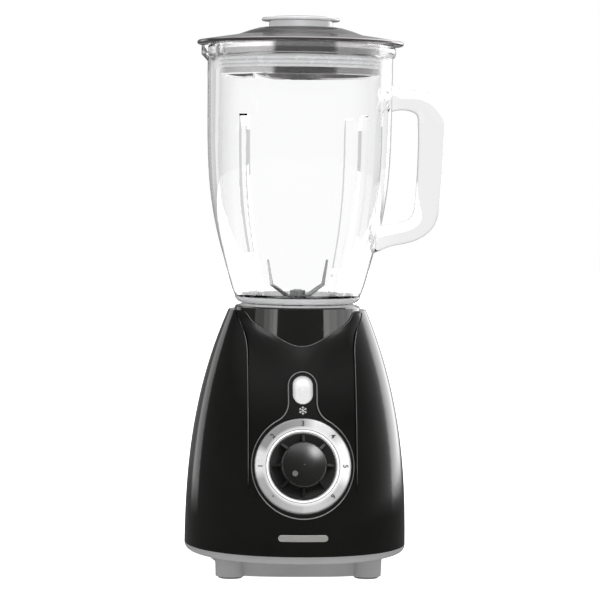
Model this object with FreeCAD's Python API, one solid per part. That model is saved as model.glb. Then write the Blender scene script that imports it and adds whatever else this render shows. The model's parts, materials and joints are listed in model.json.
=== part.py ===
"""Countertop blender: a motor base with a rotary dial and a crush button, and a glass jug with lid, cap and blades.

Millimetres. +Z is up, -Y is the front, and the jug's handle points to +X. Every sub-part is drawn about the jug's
axis, on the surface that the rubber feet stand on, and then moved by AXIS_X so that the middle of the overall width
is at the origin. Each one is written to parts/NAME.step.
"""

import FreeCAD
import Part
import math
import os

Vector = FreeCAD.Vector
ORIGIN = Vector(0, 0, 0)
UP = Vector(0, 0, 1)

# ---- driving dimensions -------------------------------------------------------------------------------------
TOTAL_HEIGHT = 400.0
AXIS_X = -13.3              # where the jug's axis stands: the handle makes the right side wider
GAP = 0.15                  # assembly gap between parts that only locate each other
CLEAR = 0.3                 # gap between parts of different bodies
RUNNING = 0.06              # radial clearance of a running shaft

# base form: each side pulls in with height by a power law
SHELL_BOTTOM, SHELL_TOP = 20.4, 189.0
TAPER_HEIGHT = 190.0
SIDE = (80.0, 30.6, 2.7)    # reach at the foot, pull-in at TAPER_HEIGHT, power
FRONT = (84.0, 48.4, 2.4)
BACK = (84.0, 38.0, 2.5)
WALL = 3.0

PANEL_HALF = 38.0           # half the width of the flattened front panel
PANEL_FLARE = 9.0           # how far its edges spread towards the collar
PANEL_SINK = 2.2            # how far the panel lies behind the full curve at its middle
CREASE_STEP = 1.5           # height of the step at its edges
PANEL_FADE = 60.0           # below this height the panel has run out into the full curve
PANEL_FLAT = 150.0          # above this height the panel flattens out towards the collar

COLLAR_FOOT, COLLAR_TOP = 158.0, 192.0
COLLAR_FOOT_R, COLLAR_TOP_R, COLLAR_BORE_R = 47.6, 45.2, 42.4
COLLAR_FLOOR = 161.0

TRAY_BOTTOM, SKIRT_BOTTOM = 14.2, 2.0
SKIRT_X, SKIRT_Y = 57.0, 53.0
FOOT_X, FOOT_Y, FOOT_R = 48.5, 42.0, 11.0
PAD_R, PAD_HEIGHT = 9.0, 3.2
INLET_Y, INLET_Z, CORD_BORE_R = 76.8, 34.0, 3.7
VENTS, VENT_LOW, VENT_PITCH, VENT_LENGTH = 6, 62.0, 8.0, 46.0

# controls
DIAL_DEPTH, DIAL_Z, DIAL_TILT = 72.8, 83.0, 12.2
DIAL_R, TRIM_R, TRIM_BORE_R = 34.0, 25.7, 23.5
DIAL_FLOOR = -3.1
BEZEL_R, BEZEL_BLEND, NECK_HALF, NECK_TOP = 36.4, 14.0, 10.6, 148.3
KNOB_R, GRIP_R, KNOB_HEIGHT, KNOB_FINS = 23.1, 15.8, 15.0, 8
SPINDLE_R, DOT_R, DOT_OFFSET = 3.0, 2.0, 9.2
POINTER_ANGLE = 135.0       # the knob's dot at rest: this far anticlockwise from straight up
BUTTON_Z, BUTTON_W, BUTTON_L = 135.2, 14.0, 20.4

# jug: (radius, height) down the outside
JUG_TOP, MOUTH_R = 379.0, 58.5
JUG_OUTER = [(66.8, 358.0), (66.4, 318.0), (65.2, 288.0), (62.8, 266.0), (59.6, 248.7), (56.2, 235.0),
             (52.6, 222.6), (49.2, 209.5), (46.3, 201.0)]
NECK_BOTTOM, NECK_R, NECK_BORE_R = 182.0, 36.9, 31.0
RIB_TOP, RIB_BOTTOM, RIB_DEPTH, RIB_HALF_ANGLE = 331.0, 206.0, 3.2, 3.4
SPOUT_REACH, SPOUT_R = 71.3, 24.0
HANDLE_WIDTH = 21.0
# centre x, centre z and half thickness of the handle, from the upper arm round the grip to the lower arm
HANDLE_PATH = [(61.0, 341.0, 7.4), (72.0, 341.0, 7.4), (83.0, 340.4, 7.8), (92.0, 336.4, 9.2), (95.6, 327.0, 9.6),
               (96.0, 314.0, 9.5), (95.6, 298.0, 9.3), (94.8, 282.0, 9.1), (93.5, 266.0, 8.9), (90.2, 253.6, 8.7),
               (81.0, 246.6, 7.9), (70.0, 243.9, 7.8), (60.0, 241.6, 8.5), (50.5, 239.3, 9.4)]

# lid and cap
BRIM_R, BRIM_UNDER = 74.4, 379.4
LID_BOTTOM, LID_WALL_R, LID_BORE_R = 357.2, 57.6, 23.1
SEAL_LOW, SEAL_HIGH, SEAL_GROOVE_R, SEAL_TIP_R = 361.8, 373.4, 55.6, 58.2
CAP_R, CAP_NECK_R, CAP_CUP_R, CAP_WALL, CAP_BOTTOM = 28.2, 22.8, 21.4, 1.8, 368.0

# drive
SHAFT_R = 4.0
MOTOR_X, MOTOR_Y = 35.0, 29.0
STACK_LOW, STACK_HIGH = 86.0, 116.0
ARMATURE_R, COMMUTATOR_R = 19.0, 11.0
UPPER_Z, LOWER_Z, PLATE = 132.0, 56.0, 3.0
BEARING_R, BEARING_H = 11.0, 7.0
MOUNT_X, MOUNT_Y, MOUNT_TOP = 20.0, 38.0, 143.0
LOBES, LOBE_R, CORE_R, LOBE_END_R = 6, 2.6, 8.6, 12.6
SOCKET_LOW, SOCKET_FLOOR, SOCKET_TOP = 165.0, 169.6, 176.5
STAR_LOW, STAR_HIGH = 170.0, 178.9
BUSH_R, BLADE_TURN = 6.6, 20.0


# ---- shape helpers ------------------------------------------------------------------------------------------
def reach(side, z):
    """How far a side of the base stands from the axis at height z."""
    foot, pull, power = side
    return foot - pull * (max(z, 0.0) / TAPER_HEIGHT) ** power


def corner_power(z):
    """Superellipse exponent: nearly round at the foot and the collar, a little squarer at mid height."""
    return 2.1 + 0.25 * math.sin(math.pi * min(max((z - 10.0) / 165.0, 0.0), 1.0))


def ring_wire(points):
    """Smooth closed wire through points."""
    curve = Part.BSplineCurve()
    curve.interpolate(Points=points, PeriodicFlag=True)
    return Part.Wire(curve.toShape())


def superellipse(half_x, front, back, power, z, count=40):
    """Closed wire at height z with its own reach to the sides, the front (-Y) and the back (+Y)."""
    points = []
    for k in range(count):
        a = 2 * math.pi * (k + 0.5) / count
        c, s = math.cos(a), math.sin(a)
        half_y = back if s > 0 else front
        points.append(Vector(math.copysign(abs(c) ** (2 / power), c) * half_x,
                             math.copysign(abs(s) ** (2 / power), s) * half_y, z))
    return ring_wire(points)


def base_section(z, inset, height=None):
    """Section of the base's form at height z, drawn in by inset, and laid at another height if given."""
    return superellipse(reach(SIDE, z) - inset, reach(FRONT, z) - inset, reach(BACK, z) - inset,
                        corner_power(z), z if height is None else height)


def base_form(inset, low, high, steps=10):
    """Solid of the base's form between two heights, drawn in by inset."""
    return Part.makeLoft([base_section(low + (high - low) * k / steps, inset) for k in range(steps + 1)], True, False)


def front_at(x, z):
    """Depth of the full front curve at x and z, in front of the axis."""
    power = corner_power(z)
    return reach(FRONT, z) * (1 - (abs(x) / reach(SIDE, z)) ** power) ** (1 / power)


def panel_half(z):
    """Half width of the front panel: straight edges that spread near the collar."""
    return PANEL_HALF + PANEL_FLARE * max(0.0, (z - 160.0) / 30.0) ** 2


def panel_depth(x, z):
    """Depth of the front panel's own surface: a shallow curve across the front, flatter near the collar."""
    half = panel_half(z)
    fade = min(1.0, max(-1.0, (z - PANEL_FADE) / 25.0))
    middle = front_at(0, z) - PANEL_SINK * fade
    edge = front_at(half, z) - CREASE_STEP * fade
    rise = min(1.0, max(0.0, (z - PANEL_FLAT) / 30.0))
    return middle - (middle - edge) * abs(x / half) ** (2 + 2 * rise)


def panel_block(offset, low=32.0, high=187.5, steps=12):
    """Everything in front of the front panel's surface, moved forward by offset, between two heights."""
    wires = []
    for k in range(steps + 1):
        z = low + (high - low) * k / steps
        half = panel_half(z)
        across = [half * t / 4 for t in range(-4, 5)]
        points = [Vector(x, -panel_depth(x, z) - offset, z) for x in across]
        front = Part.BSplineCurve()
        front.interpolate(points)
        far_left, far_right = Vector(-half, -130, z), Vector(half, -130, z)
        wires.append(Part.Wire([front.toShape(), Part.makeLine(points[-1], far_right),
                                Part.makeLine(far_right, far_left), Part.makeLine(far_left, points[0])]))
    return Part.makeLoft(wires, True, False)


def line_run(points):
    """Straight edges through (r, z) points in the XZ plane."""
    return [Part.makeLine(Vector(a[0], 0, a[1]), Vector(b[0], 0, b[1])) for a, b in zip(points, points[1:])]


def spline_edge(points):
    """Smooth edge through (r, z) points in the XZ plane."""
    curve = Part.BSplineCurve()
    curve.interpolate([Vector(r, 0, z) for r, z in points])
    return curve.toShape()


def face_of(edges):
    return Part.Face(Part.Wire(Part.__sortEdges__(edges)))


def turned(points):
    """Solid of revolution about Z from a closed run of (r, z) points."""
    return face_of(line_run(points + points[:1])).revolve(ORIGIN, UP, 360)


def tube(inner, outer, low, high, x=0.0, y=0.0):
    """Upright ring, or a plain cylinder when inner is zero."""
    ring = Part.makeCylinder(outer, high - low, Vector(x, y, low))
    if inner:
        ring = ring.cut(Part.makeCylinder(inner, high - low + 2, Vector(x, y, low - 1)))
    return ring


def slab(size_x, size_y, low, high, x=0.0, y=0.0):
    """Box centred on (x, y) between two heights."""
    return Part.makeBox(size_x, size_y, high - low, Vector(x - size_x / 2, y - size_y / 2, low))


def stadium(width, length, low, high, grow=0.0):
    """Upright slot shape with round ends, its long side along Y."""
    r = width / 2 + grow
    half = (length - width) / 2
    ends = [Part.makeCylinder(r, high - low, Vector(0, side * half, low)) for side in (-1, 1)]
    return slab(2 * r, 2 * half, low, high).fuse(ends).removeSplitter()


def around(shape, count, start=0.0):
    """Copies of a shape spread evenly about the axis."""
    copies = []
    for k in range(count):
        copy = shape.copy()
        copy.rotate(ORIGIN, UP, start + 360.0 * k / count)
        copies.append(copy)
    return copies


def corners(x, y):
    """The four corners of a rectangle."""
    return [(-x, -y), (x, -y), (-x, y), (x, y)]


def on_face(shape, depth, z, tilt):
    """Move a shape built about local +Z, the way out of the front face, to its place on the leaning front."""
    moved = shape.copy()
    moved.rotate(ORIGIN, Vector(1, 0, 0), 90 - tilt)
    moved.translate(Vector(0, -depth, z))
    return moved


def on_dial(shape):
    return on_face(shape, DIAL_DEPTH, DIAL_Z, DIAL_TILT)


def on_button(shape):
    slope = (panel_depth(0, BUTTON_Z - 5) - panel_depth(0, BUTTON_Z + 5)) / 10
    return on_face(shape, panel_depth(0, BUTTON_Z), BUTTON_Z, math.degrees(math.atan(slope)))


# ---- base: shell, collar, tray, feet ------------------------------------------------------------------------
def keyhole(grow):
    """Prism along Y with the bezel's outline: a circle round the dial, blended into a neck round the button."""
    r = BEZEL_R + grow
    half = NECK_HALF + grow
    blend = BEZEL_BLEND - grow
    rise = math.sqrt((r + blend) ** 2 - (half + blend) ** 2)
    share = r / (r + blend)

    def at(x, z):
        return Vector(x, -30, DIAL_Z + z)

    def hollow(angle):
        """Point on the hollow curve, measured down from where it leaves the neck."""
        return half + blend * (1 - math.cos(angle)), rise - blend * math.sin(angle)

    bend = math.atan2(rise, half + blend)
    waist_x, waist_z = hollow(bend / 2)
    meet_x, meet_z = (half + blend) * share, rise * share
    crown = NECK_TOP - NECK_HALF - DIAL_Z
    edges = [Part.Arc(at(meet_x, meet_z), at(0, -r), at(-meet_x, meet_z)).toShape(),
             Part.Arc(at(-half, crown), at(0, crown + half), at(half, crown)).toShape()]
    for side in (-1, 1):
        edges.append(Part.Arc(at(side * meet_x, meet_z), at(side * waist_x, waist_z), at(side * half, rise)).toShape())
        edges.append(Part.makeLine(at(side * half, rise), at(side * half, crown)))
    return face_of(edges).extrude(Vector(0, -80, 0))


def collar_cone(grow, low, high):
    """The collar's outer cone between two heights."""
    slope = (COLLAR_TOP_R - COLLAR_FOOT_R) / (COLLAR_TOP - COLLAR_FOOT)
    radii = [COLLAR_FOOT_R + slope * (z - COLLAR_FOOT) + grow for z in (low, high)]
    return Part.makeCone(radii[0], radii[1], high - low, Vector(0, 0, low))


def vent_slot(z):
    slot = stadium(3.0, VENT_LENGTH, 0, 30.0)
    slot.rotate(ORIGIN, UP, 90)
    slot.rotate(ORIGIN, Vector(1, 0, 0), -90)
    slot.translate(Vector(0, reach(BACK, z) - 15, z))
    return slot


def housing_shell():
    """Gloss black shell: flattened front, hollow inside, open below, with ribbed screw posts in its corners."""
    outer = base_form(0.0, SHELL_BOTTOM, SHELL_TOP).cut(panel_block(0.0))
    shell = outer.cut(base_form(WALL, SHELL_BOTTOM - 2, SHELL_TOP - 12))
    shell = shell.cut(collar_cone(GAP, COLLAR_FOOT - 20, SHELL_TOP + 3)).cut(keyhole(GAP))
    for x, y in corners(FOOT_X, FOOT_Y):
        web = Part.makeBox(26.0, 2.0, 38.0, Vector(2.0, -1.0, SHELL_BOTTOM + 2))
        web.rotate(ORIGIN, UP, math.degrees(math.atan2(y, x)))
        web.translate(Vector(x, y, 0))
        post = tube(0, 4.6, SHELL_BOTTOM + 0.6, 60.0, x, y).fuse(web.common(base_form(1.2, SHELL_BOTTOM, 70.0, 4)))
        shell = shell.fuse(post).cut(tube(0, 1.9, SHELL_BOTTOM, 44.0, x, y))
    shell = shell.cut(Part.makeCylinder(7.2, 20.0, Vector(0, 70.0, INLET_Z), Vector(0, 1, 0)))
    for k in range(VENTS):
        shell = shell.cut(vent_slot(VENT_LOW + VENT_PITCH * k))
    return shell


def jar_collar():
    """Cup that the jug stands in: a floor with the shaft's sleeve, lugs that stop the jug turning, motor posts."""
    edge = COLLAR_TOP - 1.0
    cup = collar_cone(0.0, COLLAR_FOOT, edge)
    cup = cup.fuse(Part.makeCone(COLLAR_TOP_R + 0.07, COLLAR_TOP_R - 0.9, 1.0, Vector(0, 0, edge)))
    cup = cup.cut(Part.makeCylinder(COLLAR_BORE_R, 60, Vector(0, 0, COLLAR_FLOOR)))
    cup = cup.fuse(tube(0, 8.0, COLLAR_FLOOR - 1, 164.4)).cut(tube(0, 6.0, COLLAR_FOOT - 1, 166.0))
    cup = cup.fuse(around(slab(3.2, 6.0, COLLAR_FLOOR - 1, 171.0, x=41.6), 4, start=45.0))
    for x, y in corners(MOUNT_X, MOUNT_Y):
        cup = cup.fuse(tube(1.7, 4.4, MOUNT_TOP, COLLAR_FOOT + 0.5, x, y))
    return cup


def bottom_tray():
    """Grey tray that closes the base: a rounded rim, a smaller skirt below it, four foot bosses and air slots."""
    rounding = [(TRAY_BOTTOM, 8.5), (TRAY_BOTTOM + 0.7, 4.6), (TRAY_BOTTOM + 2.2, 1.5), (TRAY_BOTTOM + 4.0, 0.3),
                (SHELL_BOTTOM, 0.0)]
    tray = Part.makeLoft([base_section(SHELL_BOTTOM, inset, z) for z, inset in rounding], True, False)

    def skirt(inset, low, high):
        x, y = SKIRT_X - inset, SKIRT_Y - inset
        return Part.makeLoft([superellipse(x + grow, y + grow, y + grow, 3.4, z)
                              for z, grow in ((low, 0.0), (high, 1.0))], True, True)

    tray = tray.fuse(skirt(0.0, SKIRT_BOTTOM, TRAY_BOTTOM + 1))
    for x, y in corners(FOOT_X, FOOT_Y):
        tray = tray.fuse(Part.makeCone(FOOT_R - 0.5, FOOT_R, TRAY_BOTTOM - 0.5, Vector(x, y, 1.5)))
    dish = Part.makeLoft([base_section(SHELL_BOTTOM, 9.5, z) for z in (TRAY_BOTTOM + 2.6, SHELL_BOTTOM + 1)],
                         True, True)
    tray = tray.cut(dish).cut(skirt(2.4, SKIRT_BOTTOM + 2.5, SHELL_BOTTOM + 1))
    for x, y in corners(FOOT_X, FOOT_Y):
        tray = tray.fuse(tube(0, 6.4, 5.0, SHELL_BOTTOM + 0.5, x, y))
        tray = tray.cut(tube(0, PAD_R + GAP, 1.0, PAD_HEIGHT, x, y))
        tray = tray.cut(tube(0, 4.0, 2.0, 10.2, x, y)).cut(tube(0, 2.1, 2.0, 30.0, x, y))
    for k in range(-3, 4):
        slot = stadium(3.4, 44.0, -1.0, 8.0)
        slot.translate(Vector(9.0 * k, 0, 0))
        tray = tray.cut(slot)
    return tray


def foot_pad(x, y):
    """Rubber pad with a shallow suction hollow, set in the bottom of a foot boss."""
    pad = turned([(0, 0.9), (6.0, 0.9), (7.0, 0), (8.2, 0), (PAD_R, 0.8), (PAD_R, PAD_HEIGHT), (0, PAD_HEIGHT)])
    pad.translate(Vector(x, y, 0))
    return pad


def pan_screw(x, y, seat, length, head_r, thread_r):
    """Pan head screw driven upwards, its head below the seat, with a cross recess."""
    screw = tube(0, head_r, seat - 2.4, seat, x, y).fuse(tube(0, thread_r, seat, seat + length, x, y))
    for wide, deep in ((3.6, 0.9), (0.9, 3.6)):
        screw = screw.cut(slab(wide, deep, seat - 2.6, seat - 1.0, x, y))
    return screw


def tray_screws():
    return [pan_screw(x, y, 10.2, 26.0, 3.4, 1.85) for x, y in corners(FOOT_X, FOOT_Y)]


def cord_inlet():
    """Rubber grommet at the back where a mains cord would enter: two flanges that trap the wall, and a bore."""
    bush = turned([(CORD_BORE_R, 0), (8.6, 0), (8.6, 2.6), (7.05, 2.6), (7.05, 7.2), (9.6, 7.2), (9.6, 8.6),
                   (8.6, 9.6), (6.6, 10.6), (6.0, 13.0), (CORD_BORE_R, 13.0)])
    bush.rotate(ORIGIN, Vector(1, 0, 0), -90)
    bush.translate(Vector(0, INLET_Y, INLET_Z))
    return bush


# ---- controls -----------------------------------------------------------------------------------------------
def control_bezel():
    """Keyhole-shaped bezel: a plate that follows the panel, a raised lip, and a round cup that seats the dial."""
    plate = keyhole(0.0).common(panel_block(-2.6)).cut(panel_block(0.7))
    plate = plate.cut(keyhole(-1.3).common(panel_block(-0.2)))
    plate = plate.fuse(on_dial(tube(0, BEZEL_R - 1.0, DIAL_FLOOR - 2.5, 0.6)))
    plate = plate.cut(on_dial(tube(0, DIAL_R + GAP, DIAL_FLOOR, 30)))
    plate = plate.cut(on_dial(tube(0, 5.4, -20, 0)))
    return plate.cut(on_button(stadium(BUTTON_W, BUTTON_L, -20, 20, grow=CLEAR)))


def dial_ring():
    """Satin metal scale ring, slightly dished, with a rounded outer edge."""
    inner = TRIM_R + 0.05
    return on_dial(turned([(inner, DIAL_FLOOR), (DIAL_R, DIAL_FLOOR), (DIAL_R, -0.9), (DIAL_R - 0.5, -0.2),
                           (DIAL_R - 1.4, 0.1), (inner + 0.4, -0.7), (inner, -1.1)]))


def dial_trim():
    """Bright inner ring that slopes down to the knob."""
    return on_dial(turned([(TRIM_BORE_R, DIAL_FLOOR), (TRIM_R, DIAL_FLOOR), (TRIM_R, -0.7), (TRIM_R - 0.5, -0.3),
                           (TRIM_R - 1.1, -0.3), (TRIM_BORE_R, -1.9)]))


def knob_marker_hole(r, low, high):
    marker = tube(0, r, low, high, y=DOT_OFFSET)
    marker.rotate(ORIGIN, UP, POINTER_ANGLE)
    return marker


def speed_knob():
    """Rotary knob: a thin skirt, a domed grip and short radial fins, with a bored hub behind."""
    skirt = turned([(0, -0.6), (KNOB_R - 0.6, -0.6), (KNOB_R, 0.0), (KNOB_R, 1.2), (KNOB_R - 0.6, 2.0),
                    (GRIP_R + 1, 1.2), (0, 1.2)])
    dome = Part.makeSphere(34.0, Vector(0, 0, KNOB_HEIGHT - 34.0))
    grip = tube(0, GRIP_R, 0.0, 9.6).fuse(Part.makeCone(GRIP_R, GRIP_R - 2.4, KNOB_HEIGHT - 9.6, Vector(0, 0, 9.6)))
    knob = skirt.fuse(grip.common(dome))
    fin = face_of(line_run([(GRIP_R - 3, 1.0), (KNOB_R - 1.2, 1.0), (KNOB_R - 1.6, 3.4), (GRIP_R + 0.6, 9.6),
                            (GRIP_R - 3, 9.6), (GRIP_R - 3, 1.0)])).extrude(Vector(0, 1.8, 0))
    fin.translate(Vector(0, -0.9, 0))
    knob = knob.fuse(around(fin, KNOB_FINS)).fuse(tube(0, 5.0, -2.6, 0.0))
    knob = knob.cut(tube(0, SPINDLE_R, -3, 8.0))
    return on_dial(knob.cut(knob_marker_hole(DOT_R, KNOB_HEIGHT - 3.4, KNOB_HEIGHT + 1)))


def knob_dot():
    """Metal marker set in the knob's top; it shows the chosen speed."""
    return on_dial(knob_marker_hole(DOT_R, KNOB_HEIGHT - 3.4, KNOB_HEIGHT - 1.0))


def knob_spindle():
    """The switch's spindle, pushed into the knob."""
    return on_dial(tube(0, SPINDLE_R, -15.0, 8.0))


def rotary_switch():
    """Speed switch body behind the dial, with a bush through the cup's floor and five terminals."""
    body = slab(26, 26, -16.6, DIAL_FLOOR - 2.5).fuse(tube(0, 5.2, DIAL_FLOOR - 3, DIAL_FLOOR))
    for k in range(-2, 3):
        body = body.fuse(slab(1.4, 0.8, -19.2, -16.4, x=4.0 * k, y=-10))
    return on_dial(body.cut(tube(0, SPINDLE_R + RUNNING, -15.3, 0)))


def control_board():
    """Circuit board behind the speed switch, drilled in its corners."""
    board = slab(56.0, 50.0, -20.8, -19.2)
    for x, y in corners(25.0, 22.0):
        board = board.cut(tube(0, 1.6, -23, -18, x, y))
    return on_dial(board)


def board_components():
    """Parts on the board's back: a film capacitor, a heat sink, a terminal block and a ring choke."""
    parts = [slab(18.0, 8.0, -33.0, -20.8, x=-15, y=12), slab(24.0, 3.0, -35.0, -20.8, x=12, y=-16),
             slab(16.0, 9.0, -31.0, -20.8, x=14, y=12), Part.makeTorus(6.0, 2.6, Vector(-15, -10, -23.4), UP)]
    return [on_dial(part) for part in parts]


def crush_button():
    """Domed push button with a retaining flange and a stem that works the switch behind it."""
    cap = stadium(BUTTON_W, BUTTON_L, -4.6, 3.0).common(Part.makeSphere(30.0, Vector(0, 0, -27.4)))
    flange = stadium(BUTTON_W, BUTTON_L, -4.6, -3.2, grow=1.4)
    return on_button(cap.fuse(flange).fuse(tube(0, 2.4, -15.0, -4.0)))


def button_spring():
    """Rubber return boot, a bellows round the button's stem, squeezed between the bracket and the flange."""
    low, folds, pitch = -12.75, 4, 2.0
    outside, inside = [(4.1, low)], [(3.1, low)]
    for k in range(folds):
        z = low + pitch * k
        outside += [(5.0, z + 0.7), (5.0, z + 1.3), (4.1, z + pitch)]
        inside += [(4.0, z + 0.8), (4.0, z + 1.2), (3.1, z + pitch)]
    return on_button(turned(outside + inside[::-1]))


def switch_bracket():
    """Bracket behind the bezel's neck: a bored plate that seats the spring, legs, and cheeks for the snap switch."""
    bracket = slab(23.4, 12.0, -14.6, -12.8).cut(tube(0, 2.9, -18, -10))
    for side in (-1, 1):
        bracket = bracket.fuse(slab(1.4, 12.0, -14.0, 0.0, x=side * 9.7))
        bracket = bracket.fuse(slab(1.4, 10.0, -24.0, -14.0, x=side * 11.0))
    return on_button(bracket).cut(panel_block(-2.6))


def micro_switch():
    """Snap switch under the button's stem, with its plunger and three terminals."""
    body = slab(20.4, 9.6, -26.0, -18.4).fuse(tube(0, 1.5, -19.0, -17.6))
    for x in (-7.0, 0.0, 7.0):
        body = body.fuse(slab(0.8, 4.0, -30.0, -25.5, x=x))
    return on_button(body)


# ---- motor --------------------------------------------------------------------------------------------------
def motor_corners():
    return corners(MOTOR_X - 5, MOTOR_Y - 5)


def stator_core():
    """Laminated stack with a bore for the armature, windows for the coils, and grooved edges."""
    stack = slab(2 * MOTOR_X, 2 * MOTOR_Y, STACK_LOW, STACK_HIGH)
    stack = stack.cut(tube(0, ARMATURE_R + 0.6, STACK_LOW - 5, STACK_HIGH + 5))
    for side in (-1, 1):
        stack = stack.cut(slab(11.5, 36.0, STACK_LOW - 5, STACK_HIGH + 5, x=side * 24.25))
        stack = stack.cut(slab(20.0, 1.6, STACK_LOW - 5, STACK_HIGH + 5, y=side * MOTOR_Y))
    for x, y in motor_corners():
        stack = stack.cut(tube(0, 2.3, STACK_LOW - 5, STACK_HIGH + 5, x, y))
    return stack


def field_coils():
    """Two wound coils, one in each window, standing proud of the stack at both ends."""
    coils = []
    for side in (-1, 1):
        coil = slab(8.8, 33.0, STACK_LOW - 9, STACK_HIGH + 9, x=side * 25.0)
        coils.append(coil.makeFillet(3.0, [edge for edge in coil.Edges if abs(edge.tangentAt(0).y) > 0.9]))
    return coils


def bracket_plate(z, boss_low, boss_high):
    """Motor end bracket: crossed arms with screw ears, and a boss with a seat for the bearing."""
    plate = slab(2 * MOTOR_X, 18.0, z, z + PLATE).fuse(slab(18.0, 2 * MOTOR_Y, z, z + PLATE))
    for side in (-1, 1):
        plate = plate.fuse(slab(2 * MOTOR_X, 10.0, z, z + PLATE, y=side * (MOTOR_Y - 5)))
    plate = plate.fuse(tube(0, BEARING_R + 3, boss_low, boss_high))
    for x, y in motor_corners():
        plate = plate.cut(tube(0, 2.1, z - 1, z + PLATE + 1, x, y))
    return plate.cut(tube(0, BEARING_R, boss_low - 1, boss_high - 1.6)).cut(tube(0, 6.2, z - 20, z + 20))


def motor_bracket_upper():
    """Upper bracket, with four outriggers for the rubber mounts."""
    bracket = bracket_plate(UPPER_Z, UPPER_Z - 7, UPPER_Z + PLATE)
    for x, y in corners(MOUNT_X, MOUNT_Y):
        bracket = bracket.fuse(slab(13.0, 18.0, UPPER_Z, UPPER_Z + PLATE, x, math.copysign(abs(y) - 2.5, y)))
        bracket = bracket.cut(tube(0, 3.0, UPPER_Z - 1, UPPER_Z + PLATE + 1, x, y))
    return bracket


def motor_bracket_lower():
    return bracket_plate(LOWER_Z, LOWER_Z - 4, LOWER_Z + 6)


def ball_bearing(low):
    """Deep groove bearing: outer race, inner race and a row of balls."""
    outer = tube(8.7, BEARING_R, low, low + BEARING_H)
    inner = tube(SHAFT_R + RUNNING, 6.1, low, low + BEARING_H)
    groove = Part.makeTorus(7.4, 1.75, Vector(0, 0, low + BEARING_H / 2), UP)
    balls = around(Part.makeSphere(1.7, Vector(7.4, 0, low + BEARING_H / 2)), 8)
    return [outer.cut(groove), inner.cut(groove)] + balls


def bearing_upper():
    return ball_bearing(UPPER_Z + PLATE - 1.6 - BEARING_H)


def bearing_lower():
    return ball_bearing(LOWER_Z + 6 - 1.6 - BEARING_H)


def carbon_brushes():
    return [slab(9.0, 5.0, 65.0, 71.0, x=side * (COMMUTATOR_R + CLEAR + 4.5)) for side in (-1, 1)]


def brush_holders():
    """Brass box guides for the carbon brushes, on short pillars from the lower bracket."""
    holders = []
    for side in (-1, 1):
        box = slab(14.0, 7.0, 64.0, 72.0, x=side * 20.5).cut(slab(12.5, 5.2, 64.9, 71.1, x=side * 19.0))
        holders.append(box.fuse(slab(7.0, 7.0, LOWER_Z + PLATE, 64.2, x=side * 23.0)))
    return holders


def through_bolts():
    """Four long screws that clamp both brackets to the stack."""
    return [tube(0, 3.4, LOWER_Z - 2.6, LOWER_Z, x, y).fuse(tube(0, 1.9, LOWER_Z - 1, UPPER_Z + PLATE + 2, x, y))
            for x, y in motor_corners()]


def spacer_sleeves():
    """Sleeves on the long screws between the stack and each bracket."""
    spans = ((LOWER_Z + PLATE, STACK_LOW), (STACK_HIGH, UPPER_Z))
    return [tube(2.1, 3.6, low, high, x, y) for x, y in motor_corners() for low, high in spans]


def mount_grommets():
    """Rubber grommets that hang the motor under the collar."""
    grommets = []
    for x, y in corners(MOUNT_X, MOUNT_Y):
        low, high = UPPER_Z, UPPER_Z + PLATE
        grommet = turned([(1.75, low - 3), (5.6, low - 3), (5.6, low), (2.9, low), (2.9, high), (5.6, high),
                          (5.6, MOUNT_TOP), (1.75, MOUNT_TOP)])
        grommet.translate(Vector(x, y, 0))
        grommets.append(grommet)
    return grommets


def mount_screws():
    return [pan_screw(x, y, UPPER_Z - 3, 24.0, 4.2, 1.65) for x, y in corners(MOUNT_X, MOUNT_Y)]


def armature_core():
    """Slotted armature stack pressed on the shaft."""
    core = tube(SHAFT_R, ARMATURE_R, STACK_LOW, STACK_HIGH)
    return core.cut(around(slab(6.0, 2.2, STACK_LOW - 1, STACK_HIGH + 1, x=ARMATURE_R - 2.0), 12))


def armature_windings():
    """Copper end turns above and below the armature stack."""
    upper = turned([(SHAFT_R + 1, STACK_HIGH), (17.0, STACK_HIGH), (16.0, STACK_HIGH + 6), (9.0, STACK_HIGH + 8),
                    (SHAFT_R + 1, STACK_HIGH + 6)])
    lower = turned([(SHAFT_R + 1, STACK_LOW), (17.0, STACK_LOW), (16.0, STACK_LOW - 6), (9.0, STACK_LOW - 8),
                    (SHAFT_R + 1, STACK_LOW - 6)])
    return [upper, lower]


def commutator():
    """Copper commutator with its bars parted by slots."""
    ring = tube(SHAFT_R, COMMUTATOR_R, 63.0, 74.0).fuse(tube(SHAFT_R, COMMUTATOR_R + 1.6, 74.0, 76.5))
    return ring.cut(around(slab(2.0, 0.6, 62.0, 74.0, x=COMMUTATOR_R), 20))


def motor_shaft():
    """Steel shaft from the fan up to the drive socket."""
    return tube(0, SHAFT_R, 31.0, 167.5).fuse(Part.makeCone(SHAFT_R, SHAFT_R - 0.8, 0.8, Vector(0, 0, 167.5)))


def cooling_fan():
    """Radial fan under the lower bracket."""
    fan = tube(SHAFT_R, 8.0, 33.0, 48.0).fuse(tube(SHAFT_R, 30.0, 46.0, 48.0))
    return fan.fuse(around(slab(22.0, 1.2, 35.0, 46.5, x=18.5), 12))


def lobed_prism(low, high, grow):
    """Star-shaped prism that both halves of the coupling share."""
    star = tube(0, CORE_R + grow, low, high)
    arm = slab(LOBE_END_R - LOBE_R, 2 * (LOBE_R + grow), low, high, x=(LOBE_END_R - LOBE_R) / 2)
    tip = tube(0, LOBE_R + grow, low, high, x=LOBE_END_R - LOBE_R)
    return star.fuse(around(arm.fuse(tip), LOBES)).removeSplitter()


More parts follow.
